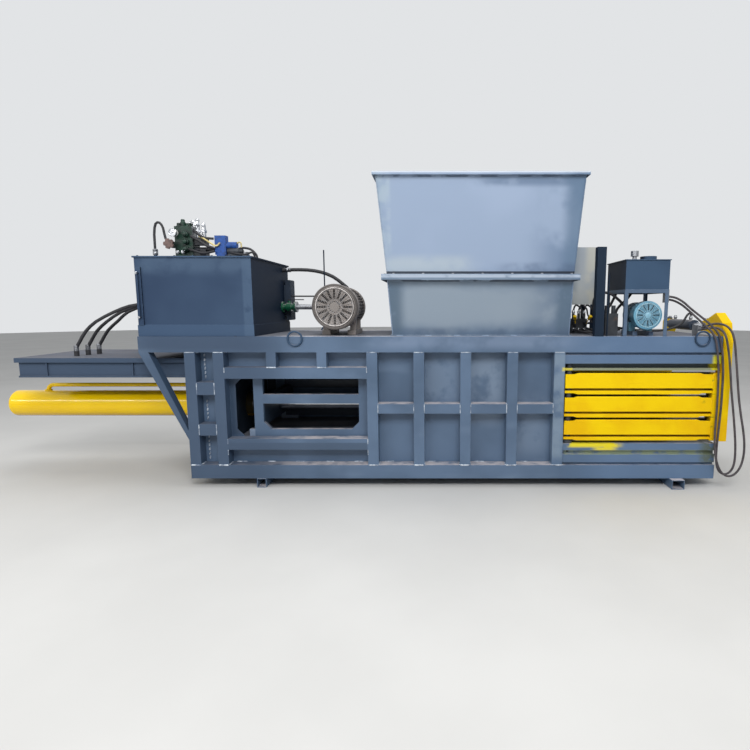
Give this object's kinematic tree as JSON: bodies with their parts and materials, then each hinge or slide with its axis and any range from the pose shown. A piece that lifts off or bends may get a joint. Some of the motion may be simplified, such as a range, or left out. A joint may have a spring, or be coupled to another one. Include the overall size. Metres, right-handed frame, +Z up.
{
  "type": "recycling baler",
  "caption": "Horizontal hydraulic recycling baler with a tiered feed hopper, long ram cylinder, side gates squeezed by a cross cylinder, oil tank, motor and control cabinet.",
  "frame": {"origin": "middle of the machine's length and width, on the floor under the skid tubes", "axes": "+X along the machine from the ram cylinder to the bale exit, +Y to the rear side, +Z up"},
  "size_m": [7.3859, 1.66, 2.879],
  "materials": {
    "frame_paint": "satin blue-grey machine paint",
    "deck_paint": "satin blue-grey machine paint, dusty on top",
    "hopper_paint": "light blue-grey paint, semi-gloss",
    "tank_paint": "dark blue-grey paint",
    "cylinder_yellow": "gloss yellow paint",
    "gate_yellow": "gloss yellow paint with overspray at the edges",
    "bare_steel": "bare steel",
    "chrome_rod": "hard chromed and ground",
    "motor_paint": "dusty grey paint",
    "small_motor_paint": "light blue paint",
    "valve_green": "gloss green paint",
    "coil_blue": "moulded blue coil housing",
    "cabinet_paint": "light grey powder coat",
    "dark_parts": "dark cast and painted parts",
    "hose_rubber": "black wrapped rubber hose",
    "knob_red": "red moulded knob",
    "knob_green": "green moulded button",
    "dial_white": "white dial behind a clear window"
  },
  "bodies": {
    "root": {"front_side_frame": "frame_paint", "rear_side_frame": "frame_paint", "front_side_panel": "frame_paint", "rear_side_panel": "frame_paint", "skid_tubes": "frame_paint", "cross_beams": "frame_paint", "floor_plate": "deck_paint", "top_deck": "deck_paint", "shear_blade": "bare_steel", "rear_bulkhead": "frame_paint", "cylinder_deck": "deck_paint", "main_cylinder_barrel": "cylinder_yellow", "cylinder_oil_pipe": "cylinder_yellow", "gate_hinge_pins": "bare_steel", "hopper_lower": "hopper_paint", "hopper_upper": "hopper_paint", "hopper_bolts": "bare_steel", "lifting_rings": "frame_paint", "oil_tank": "tank_paint", "tank_lid": "tank_paint", "level_gauge": "tank_paint", "breather_caps": "bare_steel", "main_motor": "motor_paint", "motor_fan_cowl": "motor_paint", "hydraulic_pump": "dark_parts", "suction_valve": "valve_green", "suction_pipe": "bare_steel", "valve_manifold": "valve_green", "solenoid_valves": "coil_blue", "pressure_gauge": "dial_white", "tank_top_hoses": "hose_rubber", "pressure_hoses": "hose_rubber", "oil_cooler": "dark_parts", "control_cabinet": "cabinet_paint", "deck_posts": "frame_paint", "squeeze_tank": "tank_paint", "squeeze_unit_frame": "frame_paint", "squeeze_motor": "small_motor_paint", "squeeze_motor_cowl": "small_motor_paint", "squeeze_pump": "dark_parts", "squeeze_valve_block": "dark_parts", "hose_unions": "bare_steel", "hose_loop_a": "hose_rubber", "hose_loop_b": "hose_rubber"},
    "ram": {"ram_carriage": "frame_paint", "ram_platen": "frame_paint", "slide_shoes": "bare_steel", "main_cylinder_rod": "chrome_rod"},
    "front_gate": {"front_gate": "gate_yellow"},
    "rear_gate": {"rear_gate": "gate_yellow"},
    "squeeze_barrel": {"squeeze_cylinder_barrel": "frame_paint"},
    "squeeze_rod": {"squeeze_cylinder_rod": "chrome_rod"},
    "main_rotor": {"motor_rotor": "dark_parts"},
    "small_rotor": {"squeeze_rotor": "dark_parts"},
    "door": {"cabinet_door": "cabinet_paint"},
    "door_handle": {"cabinet_handle": "dark_parts"},
    "start": {"start_button": "knob_green"},
    "stop": {"stop_button": "knob_red"},
    "valve_lever": {"suction_valve_lever": "dark_parts"},
    "handwheel": {"relief_handwheel": "knob_red"}
  },
  "joints": [
    {"name": "ram_slide", "type": "slide", "parent": "root", "child": "ram", "axis": [1, 0, 0], "range_m": [0, 1.81]},
    {"name": "front_gate_hinge", "type": "hinge", "parent": "root", "child": "front_gate", "pos_m": [2.13, -0.612, 0.78], "axis": [0, 0, 1], "range_deg": [0, 3]},
    {"name": "rear_gate_hinge", "type": "hinge", "parent": "root", "child": "rear_gate", "pos_m": [2.13, 0.612, 0.78], "axis": [0, 0, -1], "range_deg": [0, 3]},
    {"name": "squeeze_pivot", "type": "hinge", "parent": "rear_gate", "child": "squeeze_barrel", "pos_m": [3.574, 0.56, 1.53], "axis": [0, 0, 1], "range_deg": [0, 1.66]},
    {"name": "squeeze_slide", "type": "slide", "parent": "squeeze_barrel", "child": "squeeze_rod", "axis": [0, 1, 0], "range_m": [0, 0.1505]},
    {"name": "main_motor_spin", "type": "hinge", "parent": "root", "child": "main_rotor", "pos_m": [-0.083, -0.3, 1.72], "axis": [0, 1, 0], "continuous": true},
    {"name": "small_motor_spin", "type": "hinge", "parent": "root", "child": "small_rotor", "pos_m": [2.84, -0.5, 1.643], "axis": [0, 1, 0], "continuous": true},
    {"name": "door_hinge", "type": "hinge", "parent": "root", "child": "door", "pos_m": [2.51, 0.309, 2.032], "axis": [0, 0, 1], "range_deg": [0, 110]},
    {"name": "door_handle_turn", "type": "hinge", "parent": "door", "child": "door_handle", "pos_m": [2.52, -0.06, 2.0325], "axis": [1, 0, 0], "range_deg": [0, 90]},
    {"name": "start_press", "type": "slide", "parent": "door", "child": "start", "axis": [-1, 0, 0], "range_m": [0, 0.004], "stiffness_N_per_m": 400},
    {"name": "stop_press", "type": "slide", "parent": "door", "child": "stop", "axis": [-1, 0, 0], "range_m": [0, 0.005], "stiffness_N_per_m": 400},
    {"name": "valve_lever_turn", "type": "hinge", "parent": "root", "child": "valve_lever", "pos_m": [-0.74, 0.25, 1.78], "axis": [0, 0, -1], "range_deg": [0, 90]},
    {"name": "handwheel_turn", "type": "hinge", "parent": "root", "child": "handwheel", "pos_m": [-1.646, -0.44, 2.311], "axis": [0, 1, 0], "range_deg": [0, 720]}
  ],
  "couplings": [
    {"joint": "rear_gate_hinge", "follows": "front_gate_hinge", "ratio": 1},
    {"joint": "squeeze_pivot", "follows": "front_gate_hinge", "ratio": 0.5523},
    {"joint": "squeeze_slide", "follows": "front_gate_hinge", "m_per_rad": 2.8726}
  ]
}
